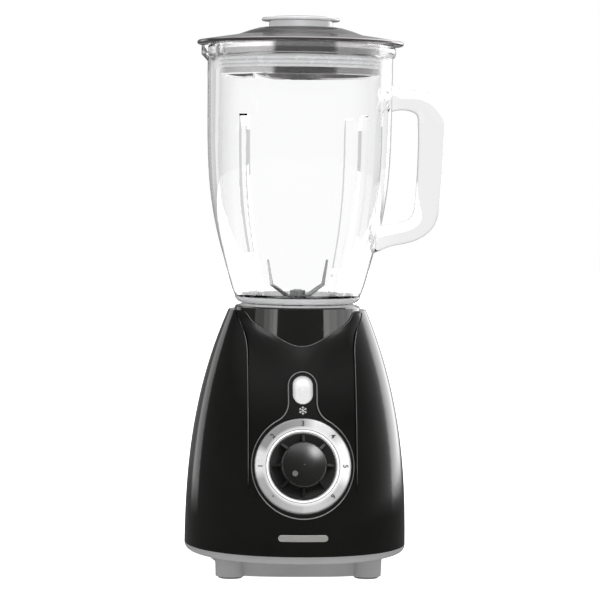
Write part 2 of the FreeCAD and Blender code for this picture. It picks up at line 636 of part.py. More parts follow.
def drive_coupling():
    """Socket half of the drive, on top of the motor shaft, with a skirt round the collar's sleeve."""
    socket = tube(0, 16.5, SOCKET_LOW, SOCKET_TOP).cut(lobed_prism(SOCKET_FLOOR, SOCKET_TOP + 1, 0.0))
    socket = socket.cut(Part.makeCone(13.0, 15.5, 2.0, Vector(0, 0, SOCKET_TOP - 1.5)))
    socket = socket.fuse(tube(12.0, 14.0, 162.6, SOCKET_LOW + 0.1))
    return socket.cut(tube(0, SHAFT_R, SOCKET_LOW - 1, 168.4))


# ---- jug ----------------------------------------------------------------------------------------------------
def jug_inside(depth=0.0):
    """(r, z) points down the inside, moved towards the axis by depth; the wall thins from the rim downwards."""
    return [(r - 8.3 + 2.9 * (358.0 - z) / 157.0 - depth, z) for r, z in JUG_OUTER]


def jug_wall():
    """Turned wall: rim bead, tapering curve, thick foot, and the open neck that screws into the base ring."""
    inside = jug_inside()
    rim = [JUG_OUTER[0], (66.8, 370.0), (68.2, 371.4), (68.9, 373.6), (68.9, 376.6), (68.0, 378.4),
           (66.6, JUG_TOP), (MOUTH_R + 1.4, JUG_TOP), (MOUTH_R, JUG_TOP - 1.4), inside[0]]
    foot = [JUG_OUTER[-1], (44.6, 197.4), (42.8, 195.2), (40.6, 194.2), (NECK_R, 194.0), (NECK_R, NECK_BOTTOM),
            (NECK_BORE_R, NECK_BOTTOM), (NECK_BORE_R, 197.6), (33.0, 199.2), (37.0, 199.7), inside[-1]]
    edges = line_run(rim) + [spline_edge(inside)] + line_run(foot) + [spline_edge(JUG_OUTER)]
    return face_of(edges).revolve(ORIGIN, UP, 360)


def jug_cavity():
    """Space inside the jug, to trim the handle's roots."""
    inside = jug_inside()
    run = [inside[-1], (37.0, 199.7), (0, 199.7), (0, 385.0), (MOUTH_R, 385.0), inside[0]]
    return face_of(line_run(run) + [spline_edge(inside)]).revolve(ORIGIN, UP, 360)


def jug_rib():
    """One upright rib inside the wall, at +X, with a sloping top end."""
    root = [point for point in jug_inside(-1.5) if point[1] < 320]
    crest = [point for point in jug_inside(RIB_DEPTH) if point[1] < 320]
    top = (root[0][0] + 1.0, RIB_TOP)
    edges = [spline_edge(root), spline_edge(crest)]
    edges += line_run([root[0], top, (crest[0][0] + 1.4, RIB_TOP - 3.5), crest[0]]) + line_run([root[-1], crest[-1]])
    face = face_of(edges)
    face.rotate(ORIGIN, UP, -RIB_HALF_ANGLE)
    return face.revolve(ORIGIN, UP, 2 * RIB_HALF_ANGLE)


def jug_spout():
    """Pouring lip opposite the handle, a rounded bulge of the rim, without its channel."""
    x = SPOUT_R - SPOUT_REACH
    lip = Part.makeCone(SPOUT_R - 5.0, SPOUT_R, 5.6, Vector(x, 0, 366.6)).fuse(tube(0, SPOUT_R, 372.2, 378.2, x))
    lip = lip.fuse(Part.makeCone(SPOUT_R, SPOUT_R - 0.8, 0.8, Vector(x, 0, 378.2)))
    return lip.cut(tube(0, MOUTH_R + 4, 340, 400))


def spout_channel():
    return Part.makeCone(13.0, SPOUT_R - 4.6, 9.0, Vector(SPOUT_R - SPOUT_REACH, 0, JUG_TOP - 8.9))


def handle_section(before, here, after):
    """Rounded section square to the handle's line."""
    x, z, half = here
    along = Vector(after[0] - before[0], 0, after[1] - before[1]).normalize()
    points = []
    for k in range(16):
        a = 2 * math.pi * (k + 0.5) / 16
        c, s = [math.copysign(abs(value) ** (2 / 2.8), value) for value in (math.cos(a), math.sin(a))]
        points.append(Vector(x + along.z * c * half, s * HANDLE_WIDTH / 2, z - along.x * c * half))
    return ring_wire(points)


def jug_handle():
    """D-shaped handle, thicker in the grip than in its arms."""
    path = HANDLE_PATH
    last = len(path) - 1
    sections = [handle_section(path[max(k - 1, 0)], path[k], path[min(k + 1, last)]) for k in range(last + 1)]
    return Part.makeLoft(sections, True, False)


def glass_jug():
    """Wall, spout, ribs and handle in one piece of glass."""
    glass = jug_wall().fuse(jug_handle().cut(jug_cavity()))
    glass = glass.fuse(jug_spout()).cut(spout_channel())
    return glass.fuse(around(jug_rib(), 4, start=45.0))


def base_ring():
    """Screw ring under the jug: it grips the glass neck, carries the blade plate and keys into the collar."""
    ring = turned([(30.5, 173.0), (37.4, 173.0), (37.4, 161.3), (40.6, 161.3), (41.6, 162.3), (41.6, 192.3),
                   (40.8, 193.1), (NECK_R + GAP, 193.1), (NECK_R + GAP, 176.0), (30.5, 176.0)])
    return ring.cut(around(slab(4.4, 7.4, 160.0, 172.0, x=41.4), 4, start=45.0))


def blade_seal():
    return tube(NECK_BORE_R, NECK_R - 0.2, 179.0, NECK_BOTTOM)


def blade_plate():
    """Steel plate that closes the jug's bottom, raised to a bearing boss in the middle."""
    return turned([(BUSH_R, 179.4), (13.2, 179.4), (14.6, 177.2), (17.6, 177.2), (18.6, 176.0),
                   (NECK_R - 0.2, 176.0), (NECK_R - 0.2, 179.0),
                   (25.0, 179.0), (14.0, 182.0), (10.6, 186.0), (10.0, 195.6), (9.0, 196.8), (BUSH_R, 196.8)])


def blade_bush():
    """Sintered bush for the blade shaft."""
    return tube(SHAFT_R + RUNNING, BUSH_R, 180.0, 196.2)


# ---- blades -------------------------------------------------------------------------------------------------
def blade_shaft():
    """Shaft from the driven star up through the bush, reduced at the top for the blades and nut."""
    return tube(0, SHAFT_R, 171.2, 198.0).fuse(tube(0, 3.0, 197.0, 204.4))


def bent_arm(profile, width, tip):
    """Blade arm along +X: (x, z) points of its upper face, thickened, then shaped from above to a point."""
    thick = 1.3
    lower = [(x, z - thick) for x, z in profile]
    run = profile + lower[::-1] + profile[:1]
    arm = face_of(line_run(run)).extrude(Vector(0, width, 0))
    arm.translate(Vector(0, -width / 2, 0))
    end = profile[-1][0]
    outline = [Vector(-2, -width / 2, 0), Vector(0.72 * end, -width / 2, 0), Vector(end + 0.2, -tip / 2, 0),
               Vector(end + 0.2, tip / 2, 0), Vector(0.72 * end, width / 2, 0), Vector(-2, width / 2, 0)]
    blank = Part.Face(Part.makePolygon(outline + outline[:1])).extrude(Vector(0, 0, 260))
    return arm.common(blank)


def upper_blades():
    """Pair of arms bent upwards, with saw teeth on their outer parts."""
    arm = bent_arm([(0, 200.6), (8.5, 200.6), (20.4, 208.4), (23.4, 225.6)], 8.0, 3.4)
    for k in range(5):
        tooth = Part.makeCylinder(1.0, 8.0, Vector(18, -4.3 + 0.26 * k, 210.5 + 2.9 * k), Vector(1, 0, 0))
        arm = arm.cut(tooth)
    pair = arm.fuse(around(arm, 1, start=180.0)).cut(tube(0, 3.0, 190, 210))
    pair.rotate(ORIGIN, UP, BLADE_TURN)
    return pair


def lower_blades():
    """Pair of arms bent downwards, square to the upper pair."""
    arm = bent_arm([(0, 199.3), (9.5, 199.3), (24.0, 189.5)], 9.0, 4.0)
    pair = arm.fuse(around(arm, 1, start=180.0)).cut(tube(0, 3.0, 180, 210))
    pair.rotate(ORIGIN, UP, BLADE_TURN + 90)
    return pair


def blade_washer():
    return tube(3.0, 6.5, 197.2, 198.0).cut(tube(0, SHAFT_R, 190, 198.0))


def blade_nut():
    """Cap-screw nut that clamps the blades."""
    hexagon = [Vector(5.6 * math.cos(math.radians(60 * k)), 5.6 * math.sin(math.radians(60 * k)), 200.6)
               for k in range(7)]
    nut = Part.Face(Part.makePolygon(hexagon)).extrude(Vector(0, 0, 3.0))
    return nut.cut(tube(0, 3.0, 195, 210))


def driven_coupling():
    """Star half of the drive under the jug; it drops into the socket on the motor shaft."""
    return lobed_prism(STAR_LOW, STAR_HIGH, -CLEAR).cut(tube(0, SHAFT_R, STAR_LOW + 1.2, 190))


# ---- lid and cap --------------------------------------------------------------------------------------------
def lid():
    """Grey lid: wide brim, raised middle with the filler hole and its ledge, and a skirt inside the jug's mouth."""
    ledge = CAP_CUP_R + CLEAR
    return turned([(ledge, 372.0), (LID_BORE_R + 2.2, 372.0), (LID_BORE_R + 2.2, 388.0), (28.0, 389.2), (44.0, 383.6),
                   (53.6, 381.6), (53.6, LID_BOTTOM + 1.2), (54.6, LID_BOTTOM), (LID_WALL_R - 0.8, LID_BOTTOM),
                   (LID_WALL_R, LID_BOTTOM + 0.8), (LID_WALL_R, SEAL_LOW), (SEAL_GROOVE_R, SEAL_LOW),
                   (SEAL_GROOVE_R, SEAL_HIGH), (LID_WALL_R - 0.4, SEAL_HIGH), (LID_WALL_R - 0.4, BRIM_UNDER),
                   (73.4, BRIM_UNDER), (BRIM_R, 380.2), (BRIM_R, 381.4), (73.6, 382.2), (60.0, 384.4), (45.7, 386.6),
                   (38.0, 389.4), (31.0, 391.5), (27.4, 392.0), (LID_BORE_R, 392.0), (LID_BORE_R, 383.7),
                   (ledge, 383.7)])


def lid_seal():
    """Clear seal round the lid's skirt, with four soft ridges."""
    pitch = (SEAL_HIGH - SEAL_LOW) / 4
    points = [(SEAL_GROOVE_R, SEAL_LOW)]
    for k in range(4):
        z = SEAL_LOW + pitch * k
        points += [(57.2, z), (SEAL_TIP_R, z + 0.35 * pitch), (SEAL_TIP_R, z + 0.65 * pitch)]
    return turned(points + [(57.2, SEAL_HIGH), (SEAL_GROOVE_R, SEAL_HIGH)])


def measuring_cap():
    """Clear cap that is also a measure: flanged top, shoulder on the lid's ledge, and a cup that opens below."""
    bore = CAP_CUP_R - CAP_WALL
    return turned([(bore, CAP_BOTTOM), (CAP_CUP_R, CAP_BOTTOM), (CAP_CUP_R, 384.0), (CAP_NECK_R, 384.0),
                   (CAP_NECK_R, 396.5), (CAP_R - 0.5, 396.8), (CAP_R, 397.4), (CAP_R, 398.2), (CAP_R - 0.8, 399.0),
                   (20.0, 399.8), (12.0, TOTAL_HEIGHT), (0, TOTAL_HEIGHT), (0, TOTAL_HEIGHT - 2.0),
                   (bore - 0.6, TOTAL_HEIGHT - 2.6), (bore, TOTAL_HEIGHT - 3.4)])


# ---- export -------------------------------------------------------------------------------------------------
NODES = [housing_shell, jar_collar, bottom_tray, tray_screws, cord_inlet, control_bezel, dial_ring, dial_trim,
         rotary_switch, control_board, board_components, button_spring, switch_bracket, micro_switch, stator_core,
         field_coils, motor_bracket_upper, motor_bracket_lower, bearing_upper, bearing_lower, carbon_brushes,
         brush_holders, through_bolts, spacer_sleeves, mount_grommets, mount_screws, armature_core,
         armature_windings, commutator, motor_shaft, cooling_fan, drive_coupling, speed_knob, knob_dot,
         knob_spindle, crush_button, glass_jug, base_ring, blade_seal, blade_plate, blade_bush, blade_shaft,
         upper_blades, lower_blades, blade_washer, blade_nut, driven_coupling, lid, lid_seal, measuring_cap]
FOOT_NAMES = ["front_left", "front_right", "back_left", "back_right"]


def export(name, made):
    """Write one node: a single solid, or a group of separate solids."""
    shape = Part.makeCompound(made) if isinstance(made, list) else made
    shape.translate(Vector(AXIS_X, 0, 0))
    shape.exportStep("parts/" + name + ".step")


os.makedirs("parts", exist_ok=True)
for build in NODES:
    export(build.__name__, build())
for foot_name, (foot_x, foot_y) in zip(FOOT_NAMES, corners(FOOT_X, FOOT_Y)):
    export("foot_pad_" + foot_name, foot_pad(foot_x, foot_y))
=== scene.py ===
"""Looks of the countertop blender: finishes for the CAD sub-parts, dial markings, badge, set and camera."""
import json
import math

import bmesh
import bpy
from mathutils import Matrix, Vector
from mathutils.bvhtree import BVHTree


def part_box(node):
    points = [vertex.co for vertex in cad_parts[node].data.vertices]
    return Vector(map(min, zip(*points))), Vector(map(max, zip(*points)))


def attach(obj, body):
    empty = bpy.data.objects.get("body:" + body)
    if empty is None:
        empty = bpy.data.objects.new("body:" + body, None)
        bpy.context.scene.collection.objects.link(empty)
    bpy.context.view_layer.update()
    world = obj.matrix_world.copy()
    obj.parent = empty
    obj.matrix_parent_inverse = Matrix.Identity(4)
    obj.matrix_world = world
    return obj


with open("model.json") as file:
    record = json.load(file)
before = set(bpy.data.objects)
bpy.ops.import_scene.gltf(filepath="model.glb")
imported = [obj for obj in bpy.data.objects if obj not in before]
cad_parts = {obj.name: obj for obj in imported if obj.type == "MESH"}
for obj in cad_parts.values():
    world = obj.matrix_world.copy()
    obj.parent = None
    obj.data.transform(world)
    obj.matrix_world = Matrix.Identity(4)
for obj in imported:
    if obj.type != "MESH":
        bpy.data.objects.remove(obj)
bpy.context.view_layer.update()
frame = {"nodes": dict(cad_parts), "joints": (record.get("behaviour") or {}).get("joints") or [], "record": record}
nodes = frame["nodes"]

# the jug's upright axis, as a point at floor level
collar_low, collar_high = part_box("jar_collar")
AXIS = Vector(((collar_low.x + collar_high.x) / 2, 0.0, 0.0))

# the dial's plane: its centre at the depth and height of the knob's hinge, and how far its face leans back
knob_hinge = next(joint for joint in frame["joints"] if joint["name"] == "knob_turn")
DIAL_CENTRE = AXIS + Vector((0.0, *knob_hinge["pos_m"][1:]))
DIAL_LEAN = math.asin(-knob_hinge["axis"][2])
DIAL = Matrix.Translation(DIAL_CENTRE) @ Matrix.Rotation(math.radians(90) - DIAL_LEAN, 4, "X")

# scale ring: radii of its dished face, and the face's height above the dial's plane at each
RING_IN, RING_OUT = 0.02615, 0.0326
RING_IN_Z, RING_OUT_Z = -0.0007, 0.0001
# print on the ring: degrees from the dial's top to off and from one position to the next; the figures'
# radius and size; how far their top and foot stand off the face
OFF_BEARING, CLICK = 225.0, 45.0
NUMERAL_R, NUMERAL_SIZE = 0.0300, 0.0049
PRINT_TOP, PRINT_FOOT = 0.00009, -0.00006
# radii between which the painted sheen of turned metal, a painted reflection, grows to its full strength; nearer
# the centre it is painted white as a highlight
PAINTED_SHEEN_FROM, PAINTED_SHEEN_FULL = 0.0264, 0.0286

# control bezel: radius of its round part, half width of its neck, fillet between them, height of the top
BEZEL_R, NECK_HALF, NECK_FILLET, NECK_TOP = 0.0364, 0.0106, 0.0140, 0.1483

# front panel: half width, how much it widens in PANEL_FLARE_RISE above PANEL_FLARE_Z, and its creases' ends
PANEL_HALF, PANEL_FLARE, PANEL_FLARE_Z, PANEL_FLARE_RISE = 0.038, 0.009, 0.160, 0.030
CREASE_LOW, CREASE_HIGH = 0.066, 0.187

# collar's cone: its radius at CONE_Z, and the radius it loses for each metre of height
CONE_R, CONE_Z, CONE_TAPER = 0.0476, 0.158, 0.0706

# top of the lid's skirt, which sits inside the glass, and foot of its flange
SKIRT_TOP, FLANGE_FOOT = 0.3788, 0.3794

# jug: distances from the axis's plane between which the glass gets greyer with painted shade, then heights and
# distances between which its rim gets duller, and the most that it does
PAINTED_SHADE_FROM, PAINTED_SHADE_FULL = 0.045, 0.075
RIM_LOW, RIM_HIGH, DULLER_FROM, DULLEST, RIM_ROUGH = 0.359, 0.363, 0.050, 0.056, 0.16


# ---- node helpers ----------------------------------------------------------------------------------------
class NodeBuilder:
    """Short calls that add and link shader nodes."""

    def __init__(self, tree):
        self.tree = tree

    def add(self, kind, **settings):
        node = self.tree.nodes.new(kind)
        for key, value in settings.items():
            setattr(node, key, value)
        return node

    def link(self, out, into):
        self.tree.links.new(out, into)
        return self

    def put(self, value, socket):
        """Links a node's output to the socket, or gives the socket a plain value."""
        if isinstance(value, bpy.types.NodeSocket):
            self.link(value, socket)
        else:
            socket.default_value = value

    def math(self, operation, a, b=0.0):
        node = self.add("ShaderNodeMath", operation=operation)
        self.put(a, node.inputs[0])
        self.put(b, node.inputs[1])
        return node.outputs[0]

    def split(self, vector):
        node = self.add("ShaderNodeSeparateXYZ")
        self.link(vector, node.inputs[0])
        return node.outputs

    def remap(self, value, low, high, from_low=0.3, from_high=0.7, **settings):
        node = self.add("ShaderNodeMapRange", **settings)
        numbers = {"From Min": from_low, "From Max": from_high, "To Min": low, "To Max": high}
        for key, number in numbers.items():
            node.inputs[key].default_value = number
        self.link(value, node.inputs["Value"])
        return node.outputs["Result"]

    def ramp(self, value, stops):
        node = self.add("ShaderNodeValToRGB")
        points = node.color_ramp.elements
        while len(points) < len(stops):
            points.new(0.5)
        for point, (at, colour) in zip(points, stops):
            point.position = at
            point.color = (*colour, 1.0)
        self.link(value, node.inputs["Fac"])
        return node.outputs["Color"]

    def blend(self, factor, a, b, mode="MIX"):
        """Mix of two colours, each a node's output or four numbers."""
        node = self.add("ShaderNodeMix", data_type="RGBA", blend_type=mode)
        for index, value in ((0, factor), (6, a), (7, b)):
            self.put(value, node.inputs[index])
        return node.outputs[2]

    def length(self, x, y):
        squares = [self.math("MULTIPLY", side, side) for side in (x, y)]
        return self.math("SQRT", self.math("ADD", *squares))

    def turn_share(self, x, y):
        """Bearing of (x, y), clockwise from -y, as a share of a turn."""
        return self.math("ADD", self.math("DIVIDE", self.math("ARCTAN2", x, y), 2 * math.pi), 0.5)


class Finish(NodeBuilder):
    """A Principled material with procedural detail in object space."""

    def __init__(self, name, **inputs):
        self.mat = bpy.data.materials.new(name)
        self.mat.use_nodes = True
        super().__init__(self.mat.node_tree)
        self.bsdf = self.tree.nodes["Principled BSDF"]
        self.space = self.add("ShaderNodeTexCoord").outputs["Object"]
        for key, value in inputs.items():
            self.bsdf.inputs[key.replace("_", " ")].default_value = value

    def scaled(self, vector, scale):
        node = self.add("ShaderNodeMapping")
        node.inputs["Scale"].default_value = scale
        self.link(vector, node.inputs["Vector"])
        return node.outputs[0]

    def noise(self, scale, detail=4.0, vector=None, rough=0.55):
        node = self.add("ShaderNodeTexNoise")
        node.inputs["Scale"].default_value = scale
        node.inputs["Detail"].default_value = detail
        node.inputs["Roughness"].default_value = rough
        self.link(vector or self.space, node.inputs["Vector"])
        return node.outputs["Fac"]

    def grazing(self, stops):
        """Colour by how edge-on the surface is seen, from facing (0) to edge-on (1), used as painted shade on
        edges.
        """
        node = self.add("ShaderNodeLayerWeight")
        node.inputs["Blend"].default_value = 0.5
        return self.ramp(node.outputs["Facing"], stops)

    def product(self, *colours):
        """Colours multiplied together into the base colour."""
        out = colours[0]
        for colour in colours[1:]:
            out = self.blend(1.0, out, colour, "MULTIPLY")
        return self.link(out, self.bsdf.inputs["Base Color"])

    def tint(self, value, dark, light, low=0.3, high=0.7):
        return self.link(self.ramp(value, [(low, dark), (high, light)]), self.bsdf.inputs["Base Color"])

    def gloss(self, value, low, high):
        return self.link(self.remap(value, low, high), self.bsdf.inputs["Roughness"])

    def bump(self, height, distance):
        node = self.add("ShaderNodeBump")
        node.inputs["Strength"].default_value = 1.0
        node.inputs["Distance"].default_value = distance
        self.link(height, node.inputs["Height"])
        return self.link(node.outputs["Normal"], self.bsdf.inputs["Normal"])


def grey(value):
    return (value, value, value)


def grey_stops(*stops):
    return [(at, grey(value)) for at, value in stops]


def moulded(name, colour, rough, grain=900.0, depth=0.00002, spread=0.12, **inputs):
    """Moulded plastic or rubber: fine grain in the relief, and slightly uneven colour and gloss."""
    made = Finish(name, **inputs)
    dark, light = [tuple(c * share for c in colour) for share in (1 - spread, 1 + spread)]
    made.tint(made.noise(35.0), dark, light)
    made.gloss(made.noise(220.0), rough * 0.88, rough * 1.12)
    return made.bump(made.noise(grain, 2.0), depth)


def brushed(name, colour, rough, stretch, depth=0.00001, spread=0.10, **inputs):
    """Metal with fine parallel scratches; stretch scales the grain along each axis."""
    made = Finish(name, **{"Metallic": 1.0, **inputs})
    grain = made.noise(1.0, 3.0, made.scaled(made.space, stretch))
    dark, light = [tuple(min(c * share, 1.0) for c in colour) for share in (1 - spread, 1 + spread)]
    made.tint(grain, dark, light)
    made.gloss(grain, rough * 0.8, rough * 1.25)
    return made.bump(grain, depth)


def dial_place(made):
    """Position in the dial's own frame: centre at the origin, face across Z."""
    node = made.add("ShaderNodeMapping", vector_type="TEXTURE")
    node.inputs["Location"].default_value = DIAL_CENTRE
    node.inputs["Rotation"].default_value = (math.radians(90) - DIAL_LEAN, 0.0, 0.0)
    made.link(made.space, node.inputs["Vector"])
    return node.outputs[0]


def dial_tangent(made, place):
    """World direction that runs round the dial, at a place in the dial's frame."""
    across = made.add("ShaderNodeVectorMath", operation="CROSS_PRODUCT")
    made.link(place, across.inputs[0])
    across.inputs[1].default_value = (0.0, 0.0, 1.0)
    turn = made.add("ShaderNodeVectorRotate", rotation_type="X_AXIS")
    turn.inputs["Angle"].default_value = math.radians(90) - DIAL_LEAN
    made.link(across.outputs[0], turn.inputs["Vector"])
    world = made.add("ShaderNodeVectorTransform", vector_type="VECTOR",
                     convert_from="OBJECT", convert_to="WORLD")
    made.link(turn.outputs[0], world.inputs[0])
    return world.outputs[0]


def spun_metal(name, painted_sheen, rough, anisotropy, metallic):
    """Turned metal: fine rings about the dial's centre, and a painted sheen, a painted reflection that changes
    round the dial.

    The painted sheen is a list of (bearing from the bottom, clockwise, as a share of a turn; grey level).
    It fades to a painted white highlight towards the dial's centre.
    """
    made = Finish(name, Metallic=metallic, Anisotropic=anisotropy)
    place = dial_place(made)
    x, y, _ = made.split(place)
    radius = made.length(x, y)
    flat = made.add("ShaderNodeCombineXYZ")
    made.link(radius, flat.inputs[0])
    rings = made.noise(1.0, 3.0, made.scaled(flat.outputs[0], (5200.0, 1.0, 1.0)), 0.7)
    # painted highlight and reflection: white near the centre, fading out to the painted sheen that changes by
    # bearing
    painted_sheen_share = made.remap(radius, 0.0, 1.0, PAINTED_SHEEN_FROM, PAINTED_SHEEN_FULL)
    painted_sheen_round = made.ramp(made.turn_share(x, y), grey_stops(*painted_sheen))
    made.product(made.blend(painted_sheen_share, (1.0, 1.0, 1.0, 1.0), painted_sheen_round),
                 made.ramp(rings, grey_stops((0.3, 0.9), (0.7, 1.0))))
    made.gloss(made.noise(120.0), rough * 0.92, rough * 1.08)
    made.bump(rings, 0.0000015)
    return made.link(dial_tangent(made, place), made.bsdf.inputs["Tangent"])


# ---- finishes, one for each material slot ----------------------------------------------------------------
def shell_black():
    made = Finish("shell_black", Specular_IOR_Level=0.5, IOR=1.45)
    made.tint(made.noise(40.0), (0.0045, 0.0045, 0.0042), (0.0062, 0.0062, 0.0056))
    made.gloss(made.noise(60.0), 0.025, 0.045)
    return made.bump(made.noise(120.0, 1.0), 0.0000015)


def collar_black():
    made = Finish("collar_black", Specular_IOR_Level=0.6, IOR=1.5)
    made.tint(made.noise(40.0), (0.0062, 0.0062, 0.0055), (0.0085, 0.0085, 0.0075))
    made.gloss(made.noise(160.0), 0.05, 0.10)
    return made.bump(made.noise(500.0, 2.0), 0.000002)


def lid_grey():
    """Metallic grey; the skirt inside the glass has broad upright bands of painted reflection."""
    made = Finish("lid_grey", Metallic=0.85, IOR=1.5)
    flakes = made.ramp(made.noise(2600.0, 1.0), [(0.3, (0.86, 0.84, 0.85)), (0.7, (1.0, 0.98, 0.99))])
    x, y, z = made.split(made.space)
    bearing = made.turn_share(made.math("SUBTRACT", x, AXIS.x), made.math("MULTIPLY", y, -1.0))
    # painted reflection: light and dark sheen bands by bearing round the skirt, set in the base colour
    painted_skirt_bands = made.ramp(bearing, grey_stops((0.0, 0.45), (0.2, 0.7), (0.40, 0.85), (0.432, 0.75),
                                          (0.442, 0.12), (0.553, 0.11), (0.563, 0.42), (0.75, 0.55),
                                          (1.0, 0.45)))
    above = made.remap(z, 0.0, 1.0, SKIRT_TOP, FLANGE_FOOT)
    made.product(made.blend(above, painted_skirt_bands, (0.19, 0.182, 0.184, 1.0)), flakes)
    made.gloss(made.noise(300.0), 0.12, 0.20)
    return made.bump(made.noise(1800.0, 1.0), 0.000004)


def jug_glass():
    """Clear pressed glass with painted shade: greyer edge-on, at its sides and in the handle; duller at the rim's
    sides.
    """
    made = Finish("jug_glass", Transmission_Weight=1.0, IOR=1.3)
    clouds = made.ramp(made.noise(12.0), [(0.3, (0.99, 0.993, 0.992)), (0.7, (0.998, 1.0, 0.999))])
    # painted shade: base colour greyer where the glass is seen edge-on
    painted_edge_shade = made.grazing(grey_stops((0.40, 1.0), (0.7, 0.90), (0.9, 0.76), (1.0, 0.60)))
    x, _, z = made.split(made.space)
    aside = made.math("ABSOLUTE", made.math("SUBTRACT", x, AXIS.x))
    # painted shade: greyer towards the sides and the handle
    sides = made.ramp(made.remap(aside, 0.0, 1.0, PAINTED_SHADE_FROM, PAINTED_SHADE_FULL),
                      grey_stops((0.0, 1.0), (0.4, 0.93), (1.0, 0.88)))
    made.product(clouds, painted_edge_shade, sides)
    at_rim = made.remap(z, 0.0, 1.0, RIM_LOW, RIM_HIGH)
    dullness = made.remap(aside, 0.0, RIM_ROUGH, DULLER_FROM, DULLEST)
    made.link(made.math("MULTIPLY", at_rim, dullness), made.bsdf.inputs["Roughness"])
    ripple = made.noise(1.0, 1.0, made.scaled(made.space, (30.0, 30.0, 9.0)))
    return made.bump(ripple, 0.00006)


def cap_clear():
    made = Finish("cap_clear", Transmission_Weight=0.35, IOR=1.49)
    clouds = made.ramp(made.noise(30.0), [(0.3, (0.96, 0.96, 0.97)), (0.7, (0.99, 0.99, 1.0))])
    # painted shade: base colour darker where the surface is seen edge-on
    made.product(clouds, made.grazing(grey_stops((0.6, 1.0), (1.0, 0.66))))
    made.gloss(made.noise(200.0), 0.14, 0.22)
    return made.bump(made.noise(420.0, 2.0), 0.000006)


def seal_clear():
    made = Finish("seal_clear", Transmission_Weight=0.1, IOR=1.41)
    made.tint(made.noise(60.0), (0.93, 0.93, 0.94), (0.98, 0.98, 0.99))
    made.gloss(made.noise(60.0), 0.24, 0.30)
    return made.bump(made.noise(200.0, 1.0), 0.000002)


def button_silver():
    """Silver paint, with painted shade that darkens it towards the rim of the round-ended button."""
    made = Finish("button_silver", Metallic=0.2, Coat_Weight=0.4, Coat_Roughness=0.1)
    flakes = made.ramp(made.noise(3800.0, 1.0), grey_stops((0.3, 0.88), (0.7, 1.0)))
    low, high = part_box("crush_button")
    middle, half = (low + high) / 2, (high - low) / 2
    x, _, z = made.split(made.space)
    aside = made.math("ABSOLUTE", made.math("SUBTRACT", x, middle.x))
    along = made.math("ABSOLUTE", made.math("SUBTRACT", z, middle.z))
    past_straight = made.math("MAXIMUM", made.math("SUBTRACT", along, half.z - half.x), 0.0)
    # painted shade: darker towards the button's rim
    painted_rim_shade = made.length(made.math("DIVIDE", aside, half.x), made.math("DIVIDE", past_straight, half.x))
    made.product(flakes, made.ramp(painted_rim_shade, grey_stops((0.55, 1.0), (0.8, 0.62), (1.0, 0.22))))
    made.gloss(made.noise(400.0), 0.26, 0.36)
    return made.bump(made.noise(3800.0, 1.0), 0.000003)


def knob_black():
    made = Finish("knob_black", Specular_IOR_Level=0.5, IOR=1.5)
    made.tint(made.noise(60.0), (0.006, 0.006, 0.0056), (0.009, 0.009, 0.0084))
    made.gloss(made.noise(200.0), 0.29, 0.33)
    return made.bump(made.noise(900.0, 1.0), 0.000001)


def lamination_steel():
    """Stack of thin sheets, seen as fine level bands."""
    made = Finish("lamination_steel", Metallic=1.0)
    layers = made.add("ShaderNodeTexWave", wave_type="BANDS", bands_direction="Z")
    layers.inputs["Scale"].default_value = 320.0
    layers.inputs["Distortion"].default_value = 0.3
    made.link(made.space, layers.inputs["Vector"])
    made.tint(layers.outputs["Fac"], (0.16, 0.16, 0.165), (0.34, 0.34, 0.35), 0.1, 0.9)
    made.gloss(made.noise(180.0), 0.32, 0.5)
    return made.bump(layers.outputs["Fac"], 0.00006)


def copper_wire():
    """Lacquered windings, seen as bands of turns."""
    made = Finish("copper_wire", Metallic=1.0, Coat_Weight=0.6, Coat_Roughness=0.15)
    turns = made.add("ShaderNodeTexWave", wave_type="BANDS", bands_direction="Y")
    turns.inputs["Scale"].default_value = 260.0
    turns.inputs["Distortion"].default_value = 1.2
    made.link(made.space, turns.inputs["Vector"])
    made.tint(turns.outputs["Fac"], (0.36, 0.13, 0.05), (0.80, 0.38, 0.18), 0.1, 0.9)
    made.gloss(made.noise(200.0), 0.25, 0.4)
    return made.bump(turns.outputs["Fac"], 0.00012)


def board_green():
    """Circuit board, lighter along its tracks."""
    made = Finish("board_green", Coat_Weight=0.4, Coat_Roughness=0.2)
    tracks = made.add("ShaderNodeTexVoronoi", feature="DISTANCE_TO_EDGE", distance="MANHATTAN")
    tracks.inputs["Scale"].default_value = 140.0
    made.link(made.space, tracks.inputs["Vector"])
    made.tint(tracks.outputs["Distance"], (0.05, 0.20, 0.09), (0.02, 0.10, 0.045), 0.02, 0.10)
    made.gloss(made.noise(120.0), 0.3, 0.42)
    return made.bump(tracks.outputs["Distance"], 0.00003)


def foot_frost():
    """Frosted glass round the jug's foot."""
    made = Finish("foot_frost", Transmission_Weight=0.55, IOR=1.3)
    made.tint(made.noise(60.0), (0.80, 0.80, 0.81), (0.86, 0.86, 0.87))
    made.gloss(made.noise(90.0), 0.16, 0.22)
    return made.bump(made.noise(300.0, 1.0), 0.000002)


# painted reflections round the dial, as (bearing share, grey level), for the scale ring and the trim
RING_PAINTED_SHEEN = [(0.0, 0.56), (0.09, 0.46), (0.125, 0.42), (0.20, 0.48), (0.235, 0.95), (0.30, 0.95),
              (0.325, 0.36), (0.42, 0.32), (0.50, 0.38), (0.545, 0.90), (0.60, 0.85), (0.63, 0.62),
              (0.67, 1.0), (0.79, 0.98), (0.83, 0.52), (0.88, 0.48), (0.95, 0.62)]
TRIM_PAINTED_SHEEN = [(0.0, 0.90), (0.15, 0.95), (0.5, 1.0), (0.85, 0.95), (1.0, 0.90)]

